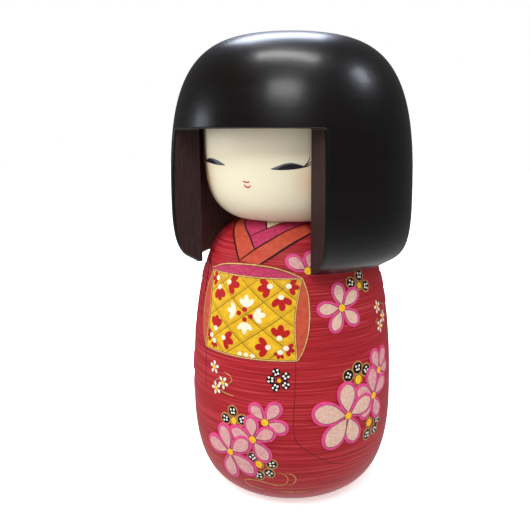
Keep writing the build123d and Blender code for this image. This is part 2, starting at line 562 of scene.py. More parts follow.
@dataclass
class Painter:
    """Paints on one turned skin, in thin films that a body carries.

    In its methods, finish is a film's finish, and lift is how far its face stands off the
    skin, in millimetres.

    Attributes:
        skin: The skin that's painted.
        body: The CAD body that the paint moves with.
        slot: The material slot meant for the paint; not used.
        stencils: The stencils that the films are cut from.
        embed: How far each film reaches into the wood at least, in millimetres.
        films: The films laid so far, by their finish.
        tops: The highest lift of each finish's films.
    """

    skin: Skin
    body: str
    slot: Slot
    stencils: StencilBox
    embed: float = 0.12
    films: dict[Finish, list[bpy.types.Object]] = field(default_factory=dict)
    tops: dict[Finish, float] = field(default_factory=dict)

    def lay(
        self, finish: Finish, film: bpy.types.Object, azimuth: np.ndarray, length: np.ndarray, lift: float
    ) -> None:
        """Rolls a film on to the skin and keeps it with the others of its finish.

        Args:
            finish: Its finish.
            film: The flat copy of a stencil.
            azimuth: Where each of its points goes, in degrees.
            length: Where each of its points goes, along the outline.
            lift: How far its face stands off the skin, in millimetres.
        """
        placed = self.skin.roll(azimuth, length, lift)
        film.data.vertices.foreach_set("co", placed.ravel())
        film.data.update()
        self.films.setdefault(finish, []).append(film)
        self.tops[finish] = max(lift, self.tops.get(finish, 0.0))

    def chart(self, line: Line) -> np.ndarray:
        """A line's points on the chart, from their azimuths and heights."""
        azimuths, heights = np.array(line, float).T
        return np.stack([azimuths, self.skin.length_at(heights)], axis=-1)

    def offset(self, centre: Pair, x: np.ndarray, y: np.ndarray) -> tuple[np.ndarray, np.ndarray]:
        """Places points of a flat drawing on the chart.

        Args:
            centre: The azimuth and height of the drawing's middle.
            x: How far each point is from there the way that azimuths rise, in millimetres.
            y: How far it is up the skin from there, in millimetres.

        Returns:
            The points' azimuths, and their lengths along the outline.
        """
        azimuth, height = centre
        length = self.skin.length_at(height) + y
        return azimuth + np.degrees(x / self.skin.radius_at(length)), length

    def blob(
        self, finish: Finish, centre: Pair, edge: Edge, lift: float, stencil: Stencil = Stencil.DISC
    ) -> None:
        """Paints a rounded shape.

        Args:
            finish: Its finish.
            centre: The azimuth and height that the shape is drawn about.
            edge: Takes angles round the shape and gives its edge and its middle, in millimetres.
            lift: How far the film stands off the skin, in millimetres.
            stencil: The stencil that it's cut from.
        """
        film, flat = self.stencils.copy(stencil)
        share = np.hypot(flat[:, 0], flat[:, 1])
        rim_x, rim_y, middle_x, middle_y = edge(np.arctan2(flat[:, 1], flat[:, 0]))
        x = middle_x + share * (rim_x - middle_x)
        y = middle_y + share * (rim_y - middle_y)
        self.lay(finish, film, *self.offset(centre, x, y), lift)

    def oval(
        self,
        finish: Finish,
        centre: Pair,
        radii: Pair,
        lift: float,
        at: Pair = (0.0, 0.0),
        turn: float = 0.0,
        stencil: Stencil = Stencil.DISC,
    ) -> None:
        """Paints an oval.

        Args:
            finish: Its finish.
            centre: The azimuth and height that it's drawn about.
            radii: Its radii, the first along its turn.
            lift: How far the film stands off the skin.
            at: Where its middle is from the centre, in millimetres.
            turn: The angle that its first radius makes with the way of rising azimuth.
            stencil: The stencil that it's cut from.
        """
        cos, sin = math.cos(math.radians(turn)), math.sin(math.radians(turn))

        def edge(angle: np.ndarray) -> tuple:
            """The oval's edge and middle."""
            u, v = radii[0] * np.cos(angle), radii[1] * np.sin(angle)
            return at[0] + u * cos - v * sin, at[1] + u * sin + v * cos, at[0], at[1]

        self.blob(finish, centre, edge, lift, stencil)

    def petal(
        self,
        finish: Finish,
        centre: Pair,
        turn: float,
        reach: Pair,
        width: float,
        lift: float,
        fullness: Pair,
        shift: Pair = (0.0, 0.0),
    ) -> None:
        """Paints a petal, pointed at its root and rounded at its tip.

        Args:
            finish: Its finish.
            centre: The azimuth and height of its flower.
            turn: The angle that it points at, from the way of rising azimuth towards up.
            reach: How far from the centre its root and its tip are, in millimetres.
            width: How wide it is, in millimetres.
            lift: How far the film stands off the skin.
            fullness: How quickly it widens from its root and narrows to its tip.
            shift: Moves it, in millimetres.
        """
        start, end = reach
        root, tip = fullness
        widest = root / (root + tip)
        peak = widest**root * (1 - widest) ** tip
        cos, sin = math.cos(math.radians(turn)), math.sin(math.radians(turn))

        def edge(angle: np.ndarray) -> tuple:
            """The petal's edge and middle."""
            t = np.clip((1 - np.cos(angle)) / 2, 0.0, 1.0)
            half = width / 2 * t**root * (1 - t) ** tip / peak * np.sign(np.sin(angle))
            u, middle = start + t * (end - start), start + widest * (end - start)
            x, y = shift
            return x + u * cos + half * sin, y + u * sin - half * cos, x + middle * cos, y + middle * sin

        self.blob(finish, centre, edge, lift)

    def stroke(
        self,
        finish: Finish,
        line: Line,
        width: float,
        lift: float,
        ends: Pair,
        aside: float = 0.0,
    ) -> None:
        """Paints a brush stroke.

        Args:
            finish: Its finish.
            line: The azimuths and heights that it passes through.
            width: How wide it is, in millimetres.
            lift: How far the film stands off the skin.
            ends: Its width at each end, as a share of its full width.
            aside: How far to the left of the line it runs, in millimetres.
        """
        film, flat = self.stencils.copy(Stencil.RIBBON)
        step = 0.01
        share = (flat[:, 0] + 1) / 2
        charted = self.chart(line)
        radius = self.skin.radius_at(charted[:, 1].mean())
        flat_line = np.stack([np.radians(charted[:, 0]) * radius, charted[:, 1]], axis=-1)
        middle = along(flat_line, share)
        before, after = np.clip(share - step, 0, 1), np.clip(share + step, 0, 1)
        ahead = along(flat_line, after) - along(flat_line, before)
        ahead /= np.maximum(np.hypot(ahead[:, 0], ahead[:, 1]), 1e-9)[:, None]
        swell = np.sin(np.pi * np.clip(share, 0, 1)) ** 0.5
        base = ends[0] + (ends[1] - ends[0]) * share
        across = flat[:, 1] * width / 2 * (base + (1 - base) * swell) + aside
        x = middle[:, 0] - ahead[:, 1] * across
        y = middle[:, 1] + ahead[:, 0] * across
        self.lay(finish, film, np.degrees(x / radius), y, lift)

    def panel(self, finish: Finish, low: Line, high: Line, lift: float, upright: bool = False) -> None:
        """Paints the area between two lines, which run from low to high azimuth.

        Args:
            finish: Its finish.
            low: The azimuths and heights of its lower edge.
            high: The azimuths and heights of its upper edge.
            lift: How far the film stands off the skin.
            upright: Whether the lines are its left and right edges instead, and run upwards.
        """
        film, flat = self.stencils.copy(Stencil.SHEET)
        share, across = (flat + 1).T / 2
        if upright:
            share, across = across, share
        first, last = along(self.chart(low), share), along(self.chart(high), share)
        placed = first + (last - first) * across[:, None]
        self.lay(finish, film, placed[:, 0], placed[:, 1], lift)

    def finish(self, prefix: str) -> None:
        """Joins the films of each finish into one closed piece that its body carries.

        Args:
            prefix: What the pieces' names begin with.
        """
        for finish, films in self.films.items():
            bpy.ops.object.select_all(action="DESELECT")
            for film in films:
                film.select_set(True)
            bpy.context.view_layer.objects.active = films[0]
            if len(films) > 1:
                bpy.ops.object.join()
            piece = bpy.context.view_layer.objects.active
            piece.name = f"{prefix}_{finish.name}"
            piece.data.name = piece.name
            bpy.ops.object.modifier_add(type="SOLIDIFY")
            # Every film of the piece then reaches from its face down into the wood.
            thicken = piece.modifiers[-1]
            thicken.thickness = (self.tops[finish] + self.embed) * MM
            thicken.offset = -1.0
            bpy.ops.object.modifier_apply(modifier=thicken.name)
            piece.data.materials.clear()
            piece.data.materials.append(finish.material())
            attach(piece, self.body)
            LOG.info("%s: %d films, %d faces", piece.name, len(films), len(piece.data.polygons))
        self.films.clear()
        self.tops.clear()


# ---- Motifs on the body ----

# Each coat lies this much above the one below, in millimetres.
COAT = 0.045
# Films of one coat that overlap lie this much above each other, so that none flickers.
SLIVER = 0.004
# How many coats a flower takes up, so that the next one lies clear above it.
FLOWER_COATS = 5


@dataclass(frozen=True)
class PinkFlower:
    """A pink five-petalled flower.

    Attributes:
        azimuth: Where its heart is, in degrees.
        height: Where its heart is, in millimetres.
        petals: Each petal's angle in degrees and length in millimetres.
        level: How many flowers lie below it.
        fill: The petals' finish.
        plump: The petals' width as a share of their length.
    """

    azimuth: float
    height: float
    petals: tuple[Pair, ...]
    level: int = 0
    fill: Finish = PETAL_PINK
    plump: float = 0.49

    def paint(self, painter: Painter) -> None:
        """Paints the flower: pink edges, burned lines, pale petals, then the heart."""
        centre = (self.azimuth, self.height)
        lift = COAT * (3 + FLOWER_COATS * self.level)
        edge_shape, shape = (0.95, 0.52), (1.15, 0.7)
        # How much wider and longer than a petal its pink edge and its burned line are.
        edge_width, edge_length = 2.6, 1.3
        line_width, line_length = 0.45, 0.3
        for index, (turn, length) in enumerate(self.petals):
            low = lift + SLIVER * index
            wide = self.plump * length
            edge = (-0.3, length + edge_length)
            painter.petal(PETAL_EDGE, centre, turn, edge, wide + edge_width, low, edge_shape)
            # The burned line shows a little more on one side of the petal than on the other.
            line, aside = (0.7, length + line_length), (0.08, -0.08)
            painter.petal(PETAL_LINE, centre, turn, line, wide + line_width, low + COAT, shape, aside)
            painter.petal(self.fill, centre, turn, (1.6, length), wide, low + 2 * COAT, shape)
        painter.oval(PETAL_LINE, centre, (1.95, 1.95), lift + 3 * COAT)
        painter.oval(FLOWER_HEART, centre, (1.75, 1.75), lift + 4 * COAT)


@dataclass(frozen=True)
class BlackFlower:
    """A small black flower with white dots on its petals.

    Attributes:
        azimuth: Where its heart is, in degrees.
        height: Where its heart is, in millimetres.
        petals: Each petal's angle in degrees and its middle's distance in millimetres.
        gilt: Whether it has a gold edge.
        size: The petals' radii, the first along the petal.
        heart: The heart's radius.
    """

    azimuth: float
    height: float
    petals: tuple[Pair, ...]
    gilt: bool = True
    size: Pair = (2.3, 2.2)
    heart: float = 1.5

    def paint(self, painter: Painter) -> None:
        """Paints the flower: gold edges, black petals, white dots, then the heart."""
        centre = (self.azimuth, self.height)
        lift = 2 * COAT
        along_petal, across = self.size
        # How far the gold shows round a petal and round the heart, and the black round the heart.
        gold_rim, heart_gold_rim, heart_rim = 0.6, 0.75, 0.3
        # Where a petal's dots are from its middle: along it, then across it.
        dots = ((0.9, 0.95), (0.9, -0.95), (-0.75, 0.6), (-0.75, -0.7))
        for index, (turn, distance) in enumerate(self.petals):
            low = lift + SLIVER * index
            cos, sin = math.cos(math.radians(turn)), math.sin(math.radians(turn))
            middle = (distance * cos, distance * sin)
            if self.gilt:
                painter.oval(GOLD, centre, (along_petal + gold_rim, across + gold_rim), low, middle, turn)
            painter.oval(BLACK, centre, (along_petal, across), low + COAT, middle, turn)
            for out, side in dots:
                dot = (middle[0] + out * cos - side * sin, middle[1] + out * sin + side * cos)
                painter.oval(DOT_WHITE, centre, (0.56, 0.5), low + 2 * COAT, dot, turn, Stencil.DOT)
        wide, high = self.heart, self.heart * 1.12
        if self.gilt:
            painter.oval(GOLD, centre, (wide + heart_gold_rim, high + heart_gold_rim), lift + 2.5 * COAT)
        painter.oval(BLACK, centre, (wide + heart_rim, high + heart_rim), lift + 3.3 * COAT)
        painter.oval(FLOWER_HEART, centre, (wide, high), lift + 4.1 * COAT)


@dataclass(frozen=True)
class WhiteBlossom:
    """A tiny white blossom with five petals and an orange heart.

    Attributes:
        azimuth: Where its heart is, in degrees.
        height: Where its heart is, in millimetres.
        turn: The first petal's angle, in degrees.
        reach: How far the petals' middles are from the heart's, in millimetres.
    """

    azimuth: float
    height: float
    turn: float = 90.0
    reach: float = 2.2

    def paint(self, painter: Painter) -> None:
        """Paints the petals, then the heart, each on a slightly larger dark one."""
        centre = (self.azimuth, self.height)
        for turn in (self.turn + 72 * index for index in range(5)):
            angle = math.radians(turn)
            middle = (self.reach * math.cos(angle), self.reach * math.sin(angle))
            painter.oval(BURNED_FAINT, centre, (1.35, 1.0), 1.5 * COAT, middle, turn, Stencil.DOT)
            painter.oval(BLOSSOM_WHITE, centre, (1.15, 0.8), 2.5 * COAT, middle, turn, Stencil.DOT)
        painter.oval(BURNED_FAINT, centre, (1.3, 1.3), 3.0 * COAT, stencil=Stencil.DOT)
        painter.oval(FLOWER_HEART, centre, (1.1, 1.1), 3.8 * COAT, stencil=Stencil.DOT)


class SashCoat(float, Enum):
    """How many coats up each part of the sash lies."""

    FOLD = 1.6
    PANEL = 2.4
    FOLD_LINE = 3.0
    LATTICE = 3.4
    WEB = 4.3
    LOBE = 4.4
    ROLL = 4.6
    DOT = 5.4
    PANEL_LINE = 5.6
    TOP_LINE = 5.8


@dataclass(frozen=True)
class Leaf:
    """Three lobes that spread from a stem and are joined at their roots.

    Attributes:
        stem: The stem's azimuth and height.
        tips: The lobes' tips, as azimuths and heights.
        finish: The lobes' finish.
        plump: The lobes' width as a share of their length.
        web: How far the lobes are joined, as a share of their length.
    """

    stem: Pair
    tips: tuple[Pair, ...]
    finish: Finish
    plump: float
    web: float

    @classmethod
    def red(cls, middle: Pair, stem: Pair, radius: float, spread: float, length: float) -> Leaf:
        """A red leaf.

        Args:
            middle: The azimuth and height of its middle.
            stem: The azimuth and height of its stem.
            radius: The skin's radius there, in millimetres.
            spread: The angle between its middle lobe and each of the others, in degrees.
            length: Its length, in millimetres.

        Returns:
            The leaf.
        """
        turn = math.atan2(middle[1] - stem[1], math.radians(middle[0] - stem[0]) * radius)
        tips = []
        side_share = 0.93
        for share, way in ((side_share, -1), (1.0, 0), (side_share, 1)):
            angle = turn + way * math.radians(spread)
            across = math.degrees(length * share * math.cos(angle) / radius)
            tips.append((stem[0] + across, stem[1] + length * share * math.sin(angle)))
        return cls(stem, tuple(tips), SASH_RED, plump=0.5, web=0.5)

    def paint(self, painter: Painter) -> None:
        """Paints the lobes, and the web that joins them."""
        root, *ends = painter.chart((self.stem, *self.tips))
        reaches = []
        for index, end in enumerate(ends):
            radius = float(painter.skin.radius_at((root[1] + end[1]) / 2))
            across, up = math.radians(end[0] - root[0]) * radius, end[1] - root[1]
            length, turn = math.hypot(across, up), math.degrees(math.atan2(up, across))
            reaches.append((turn, length))
            lift = SashCoat.LOBE * COAT + SLIVER * index
            painter.petal(self.finish, self.stem, turn, (0.3, length), length * self.plump, lift, (0.8, 0.5))
        turn, length = reaches[1]
        web = length * self.web
        lift = SashCoat.WEB * COAT
        painter.petal(self.finish, self.stem, turn, (-0.1, web + 0.3), web * 1.3, lift, (0.9, 0.3))


@dataclass
class Sash:
    """The sash: a yellow panel with leaves on a lattice, folds at its sides, a rolled top.

    Attributes:
        painter: Paints it.
        front: The azimuth of its middle, which is a little to the doll's left of its front.
        foot: The height of the panel's lower edge, in millimetres.
        panel_side: Half the yellow panel's width in degrees, and the height it's measured at.
        fold_side: The same for the folds beside it.
    """

    painter: Painter
    front: float = 3.0
    foot: float = 81.0
    panel_side: tuple[Pair, ...] = (
        (28.6, 81), (28.0, 89), (27.6, 96), (28.1, 103), (29.6, 110), (32.0, 118.2),
    )
    fold_side: tuple[Pair, ...] = (
        (29.0, 81), (31.9, 85.7), (34.1, 91.7), (35.4, 98.7), (35.6, 105), (34.8, 112), (32.3, 118.2),
    )

    def side(self, line: Line, way: int) -> list[Pair]:
        """A side line on the doll's left (way 1) or right (way -1), from low to high."""
        return [(self.front + way * half, height) for half, height in line]

    def paint(self) -> None:
        """Paints the whole sash."""
        self.paint_panel()
        self.paint_lattice()
        self.paint_leaves()
        self.paint_top()

    def paint_panel(self) -> None:
        """Paints the folds, the yellow panel over them, and their outlines."""
        panel = self.painter.panel
        for way in (-1, 1):
            # The side at the lower azimuth comes first.
            left, right = sorted((self.side(self.panel_side, way), self.side(self.fold_side, way)))
            panel(ORANGE, left, right, SashCoat.FOLD * COAT, upright=True)
        sides = (self.side(self.panel_side, way) for way in (-1, 1))
        panel(SASH_YELLOW, *sides, SashCoat.PANEL * COAT, upright=True)
        for way in (-1, 1):
            self.outline(self.side(self.panel_side, way), SashCoat.PANEL_LINE * COAT)
            self.outline(self.side(self.fold_side, way), SashCoat.FOLD_LINE * COAT)
        corner = 28.8
        # The lower edge sags a little in its middle.
        sag = ((-corner, 0.0), (0.0, 0.2), (corner, 0.0))
        edge = [(self.front + across, self.foot - drop) for across, drop in sag]
        self.outline(edge, SashCoat.PANEL_LINE * COAT)

    def outline(self, line: Line, lift: float) -> None:
        """Paints a gold line on a wider dark one.

        Args:
            line: The azimuths and heights that it passes through.
            lift: How far the dark line stands off the skin, in millimetres.
        """
        ends = (0.7, 0.7)
        self.painter.stroke(BURNED, line, 0.9, lift, ends)
        self.painter.stroke(GOLD_EDGE, line, 0.62, lift + 0.8 * COAT, ends)

    def half_width(self, height: float) -> float:
        """Half the yellow panel's width at a height, in degrees."""
        heights = [height for _, height in self.panel_side]
        return float(np.interp(height, heights, [half for half, _ in self.panel_side]))

    def paint_lattice(self) -> None:
        """Paints the lattice's double lines, each across the whole panel: a dark line and a painted
        highlight.
        """
        # Each line's height at azimuth 0 in millimetres, and its rise for each degree.
        rising = [(start, 0.61) for start in (71.8, 87.2, 99.6, 112.3, 124.5)]
        falling = [(start, -0.63) for start in (75.5, 89.3, 103.7, 116.2, 129.0)]
        reach, margin = 34, 0.5
        lowest, highest = self.foot + margin, 117.6
        for start, slope in rising + falling:
            inside = []
            for azimuth in np.arange(self.front - reach, self.front + reach, 0.25):
                height = start + slope * azimuth
                half_width = self.half_width(height) - margin
                if lowest < height < highest and abs(azimuth - self.front) < half_width:
                    inside.append((float(azimuth), float(height)))
            across = (inside[0], inside[-1])
            # The lighter stroke beside each dark one is a painted highlight on the groove's raised edge.
            for finish, aside in ((LATTICE, -0.5), (LATTICE_HIGHLIGHT, 0.55)):
                self.painter.stroke(finish, across, 0.5, SashCoat.LATTICE * COAT, (0.6, 0.6), aside)

    def paint_leaves(self) -> None:
        """Paints the white leaves round the middle, and the red ones over the rest."""
        # Each white leaf's stem, its three tips and the red dot below it.
        white = (
            ((3.1, 104.0), ((-1.4, 107.8), (2.3, 110.0), (7.1, 108.1)), (2.1, 103.2)),
            ((-3.3, 101.4), ((-7.2, 105.5), (-9.6, 102.0), (-7.5, 98.2)), (-1.5, 101.2)),
            ((7.5, 100.7), ((11.7, 104.3), (14.7, 101.7), (12.6, 97.8)), (6.0, 100.3)),
            ((2.5, 97.4), ((-1.5, 93.8), (2.9, 91.7), (7.3, 94.1)), (2.5, 98.6)),
        )
        for stem, tips, dot in white:
            Leaf(stem, tips, SASH_WHITE, plump=0.4, web=0.58).paint(self.painter)
            self.painter.oval(SASH_RED, dot, (1.3, 1.15), SashCoat.DOT * COAT, stencil=Stencil.DOT)
        # Each red leaf's middle, its stem, how far its lobes spread in degrees, and its length.
        red = (
            ((-6.4, 113.8), (-11.1, 114.4), 46, 6.6), ((11.7, 113.4), (16.4, 114.5), 46, 6.2),
            ((30.4, 114.5), (27.2, 114.8), 48, 5.0), ((23.5, 107.1), (23.0, 109.9), 52, 6.2),
            ((23.0, 94.6), (22.5, 91.4), 46, 6.2), ((11.9, 86.7), (16.6, 86.9), 46, 6.4),
            ((-5.7, 87.1), (-10.9, 88.2), 46, 6.4), ((-17.4, 107.6), (-18.5, 111.2), 34, 6.4),
            ((-17.5, 94.6), (-17.6, 91.6), 34, 6.4), ((-25.0, 114.5), (-21.6, 115.2), 44, 4.6),
            ((-22.6, 87.4), (-20.7, 87.6), 44, 4.2), ((-18.2, 83.2), (-18.1, 85.4), 38, 3.6),
            ((28.0, 86.2), (26.0, 86.8), 46, 4.2), ((22.3, 83.2), (23.0, 84.9), 46, 3.4),
        )
        for middle, stem, spread, length in red:
            radius = float(self.painter.skin.radius_at(self.painter.skin.length_at(middle[1])))
            Leaf.red(middle, stem, radius, spread, length).paint(self.painter)
            self.painter.oval(SASH_WHITE, stem, (1.4, 1.25), SashCoat.DOT * COAT, stencil=Stencil.DOT)
        for spot in ((0.6, 82.4), (4.4, 82.3), (8.2, 82.2)):
            self.painter.oval(SASH_WHITE, spot, (1.2, 0.95), SashCoat.LOBE * COAT, stencil=Stencil.DOT)

    def paint_top(self) -> None:
        """Paints the magenta roll above the panel."""
        upper = (
            (-29.0, 118.6), (-28.2, 119.2), (-17.6, 121.2), (-7.2, 122.7), (6.5, 122.8),
            (19.8, 121.7), (27.9, 119.9), (34.6, 118.4),
        )
        lower = ((-29.0, 118.1), (-12.0, 118.1), (5.0, 118.1), (20.0, 118.1), (34.6, 118.1))
        self.painter.panel(MAGENTA, lower, upper, SashCoat.ROLL * COAT)
        outline = (
            (-31.7, 118.6), (-20.1, 121.7), (-9.1, 123.0), (6.3, 123.4),
            (19.8, 122.4), (29.1, 120.3), (35.3, 118.2),
        )
        self.outline(outline, SashCoat.DOT * COAT)
        seam = ((-29.5, 118.0), (-10.0, 118.0), (12.0, 118.0), (35.0, 118.0))
        self.outline(seam, SashCoat.TOP_LINE * COAT)


@dataclass
class Collar:
    """The crossed neck bands of the kimono and of what's worn below it.

    Attributes:
        painter: Paints them on.
    """

    painter: Painter

    def paint(self) -> None:
        """Paints the bands, from the lowest to the one on top, then their outlines."""
        painter = self.painter
        right_band_top = ((-5.8, 124.9), (3.3, 130.1), (13.5, 134.5), (23.1, 137.8), (42.5, 140.8))
        right_band_low = ((8.3, 123.6), (12.0, 125.4), (18.9, 128.7), (29.2, 133.0), (46.0, 137.4))
        left_band_top = ((-35.6, 141.3), (-15.7, 138.1), (-4.3, 134.7), (3.3, 130.1))
        left_band_low = ((-50.5, 140.6), (-28.4, 136.4), (-17.7, 132.6), (-9.5, 127.3), (-6.2, 124.2))
        painter.panel(
            NECK_CREAM,
            ((-3.0, 136.5), (6.1, 136.0), (20.0, 138.5)),
            ((-2.0, 141.6), (8.0, 141.7), (22.0, 141.6)),
            0.8 * COAT,
        )
        painter.panel(
            MAGENTA,
            ((-35.6, 141.0), (-15.7, 137.9), (-4.3, 134.5), (1.0, 131.8)),
            ((-35.0, 141.7), (-14.0, 141.6), (0.2, 141.5), (6.1, 138.7)),
            1.8 * COAT,
        )
        painter.panel(ORANGE, left_band_low, left_band_top, 2.4 * COAT)
        painter.panel(
            MAGENTA,
            ((-5.1, 135.3), (3.3, 130.3), (13.5, 134.6), (23.1, 137.9), (42.5, 140.9)),
            ((-5.1, 135.4), (6.1, 138.7), (18.6, 141.3), (30.0, 141.7), (42.5, 141.7)),
            3.2 * COAT,
        )
        painter.panel(ORANGE, right_band_low, right_band_top, 4.0 * COAT)
        # Each line with its width, and how many coats up it lies.
        lines = (
            (left_band_top, 0.8, 3.6),
            (left_band_low, 1.0, 3.6),
            (right_band_top, 0.85, 4.4),
            (right_band_low, 0.95, 4.4),
            (((-5.1, 135.3), (6.1, 138.7), (18.6, 141.2)), 0.7, 3.6),
            (((0.2, 141.3), (6.1, 138.7)), 0.7, 3.6),
            (((-46.6, 123.3), (-33.2, 118.6)), 0.5, 3.6),
            (((-39.7, 122.2), (-37.0, 114.0), (-35.3, 106.1)), 0.5, 3.6),
        )
        for line, width, coats in lines:
            painter.stroke(BURNED, line, width, coats * COAT, (0.6, 0.6))


@dataclass
class BodyPainting:
    """Everything that's painted on the body.

    Attributes:
        painter: Paints it on.
    """

    painter: Painter

    def flowers(self) -> list[PinkFlower | BlackFlower | WhiteBlossom]:
        """The flowers, as they're seen and as they're taken to go on round the back."""
        five = (0.0, 72.0, 144.0, 216.0, 288.0)
        cream = {"fill": PETAL_CREAM}
        cream_large = {**cream, "plump": 0.52}
        cream_small = {**cream, "plump": 0.45}
        # Azimuth, height, each petal's angle and length, level, and what differs in its look.
        seen = (
            (57.6, 103.7, ((96, 11.0), (35, 11.7), (-43, 11.6), (-116, 11.1), (179, 11.4)), 1, cream_small),
            (38.8, 121.4, ((146, 10.3), (75, 8.4), (32, 7.2)), 1, {}),
            (59.3, 51.7, ((93, 15.7), (20, 14.9), (-73, 14.4), (-128, 17.6), (167, 17.7)), 3, cream_large),
            (78.0, 57.1, ((95, 14.1), (30, 12.5), (-69, 12.0), (155, 12.9), (-135, 12.0)), 2, {}),
            (83.9, 68.7, ((113, 11.3), (54, 11.5), (-1, 9.4), (-56, 8.5)), 1, {}),
            (-5.7, 31.6, ((107, 13.5), (38, 13.4), (-36, 14.9), (-96, 14.2), (172, 14.4)), 3, {}),
            (8.5, 41.2, ((95, 10.8), (27, 11.2), (-55, 12.1), (169, 11.7)), 2, {}),
            (15.2, 50.7, ((130, 9.8), (55, 10.8), (-18, 10.4)), 1, {}),
            (-75.0, 58.5, ((88, 15.0), (22, 17.5), (-38, 17.0), (-112, 15.0), (165, 16.0)), 2, cream),
            (-71.0, 111.5, ((80, 11.0), (10, 11.5), (-62, 11.0), (-135, 11.0), (152, 11.0)), 1, cream),
        )
        pink = [PinkFlower(*places, **look) for *places, look in seen]
        # Those of the unseen side: azimuth, height, the first petal's angle, length, level.
        unseen = (
            (126.0, 106.0, 90.0, 11.5, 1), (141.0, 95.0, 60.0, 10.5, 0), (152.0, 44.0, 100.0, 15.5, 2),
            (168.0, 57.0, 70.0, 12.5, 1), (205.0, 100.0, 95.0, 11.5, 1), (222.0, 40.0, 80.0, 15.0, 2),
            (238.0, 54.0, 60.0, 12.0, 1), (262.0, 96.0, 85.0, 11.5, 1), (262.0, 44.0, 60.0, 12.5, 1),
        )
        for azimuth, height, first, length, level in unseen:
            petals = tuple((first + step, length) for step in five)
            pink.append(PinkFlower(azimuth, height, petals, level))
        black = [
            BlackFlower(72.6, 112.4, ((159, 5.3), (75, 4.8), (-12, 5.0)), size=(2.5, 2.4), heart=1.4),
            BlackFlower(66.4, 68.1, ((152, 6.6), (92, 5.8), (34, 6.4)), size=(2.8, 2.8), heart=2.0),
            BlackFlower(75.1, 43.7, ((-99, 6.1), (-46, 7.6), (-9, 7.3)), size=(2.6, 2.4), heart=1.8),
            BlackFlower(-2.7, 48.5, ((-179, 5.2), (99, 4.7), (16, 4.9)), size=(2.5, 2.4), heart=1.6),
            BlackFlower(
                11.2, 28.0, ((132, 4.5), (7, 6.4), (-44, 6.6), (-94, 6.7)), size=(2.5, 2.3), heart=1.8
            ),
            BlackFlower(
                22.6, 71.6, ((111, 4.0), (36, 3.6), (-35, 3.6), (-117, 3.7), (177, 4.0)),
                gilt=False, size=(2.1, 2.0), heart=0.95,
            ),
            BlackFlower(152.0, 108.0, tuple((20 + step, 4.8) for step in five)),
            BlackFlower(181.0, 50.0, tuple((50 + step, 5.6) for step in five), size=(2.4, 2.0)),
            BlackFlower(268.0, 72.0, tuple((35 + step, 5.0) for step in five), False),
            BlackFlower(271.0, 112.0, tuple((10 + step, 4.6) for step in five)),
        ]
        white = [
            WhiteBlossom(azimuth, height, turn)
            for azimuth, height, turn in (
                (-17.1, 72.4, 90), (-10.1, 66.1, 60), (-15.4, 62.3, 110), (88.0, 99.5, 100),
                (94.6, 93.4, 80), (89.0, 89.9, 60), (180.0, 84.0, 80), (186.5, 78.0, 100),
                (240.0, 88.0, 70), (246.0, 82.0, 90), (298.0, 88.0, 90), (304.0, 82.0, 60),
            )
        ]
        return [*black, *pink, *white]

    def paint_lines(self) -> None:
        """Paints the gold swirls and the faint burned lines of the sleeves."""
        swirls = (
            ((-9.8, 71.6), (-6.8, 71.0), (-4.7, 69.9), (-4.2, 68.5), (-5.4, 67.0), (-6.8, 66.5)),
            ((-13.2, 67.3), (-15.7, 66.2), (-16.6, 64.6)),
            ((-12.8, 62.2), (-8.9, 61.3), (-4.7, 61.0), (-2.7, 61.0)),
            (
                (20.8, 23.9), (24.7, 23.5), (26.9, 20.8), (25.7, 17.4), (22.1, 16.2), (16.7, 16.6),
                (11.3, 17.5), (4.9, 17.4), (0.3, 15.9), (0.9, 13.5), (6.2, 12.3), (12.8, 11.9),
            ),
            ((25.8, 23.9), (29.7, 23.0), (31.3, 20.1), (29.7, 17.5), (26.8, 16.4)),
            ((22.3, 11.6), (30.0, 11.4), (38.5, 11.5)),
            ((92.6, 100.4), (97.6, 99.4), (99.8, 97.3), (97.8, 95.9), (93.7, 95.4)),
            ((87.5, 94.0), (85.0, 93.2), (84.6, 91.5)),
            ((184.0, 86.0), (190.0, 85.0), (192.0, 82.5), (189.0, 80.8)),
            ((205.0, 20.0), (210.0, 21.5), (215.0, 19.5), (212.0, 15.5), (202.0, 14.5), (192.0, 15.5)),
        )
        for swirl in swirls:
            self.painter.stroke(GOLD, swirl, 0.55, 1.6 * COAT, (0.3, 0.3))
        sleeves = (
            ((-25.7, 81.0), (-25.7, 70.0), (-25.4, 60.0)),
            (
                (31.0, 81.0), (30.6, 65.0), (30.0, 48.0), (31.0, 41.5), (36.1, 37.0), (44.5, 31.5),
                (51.9, 27.4), (59.9, 25.7), (68.8, 25.7), (78.1, 24.7),
            ),
        )
        for sleeve in sleeves:
            self.painter.stroke(BURNED_FAINT, sleeve, 0.45, 1.0 * COAT, (0.5, 0.3))

    def paint(self) -> None:
        """Paints the body."""
        Sash(self.painter).paint()
        Collar(self.painter).paint()
        for flower in self.flowers():
            flower.paint(self.painter)
        self.paint_lines()
        self.painter.finish("body")


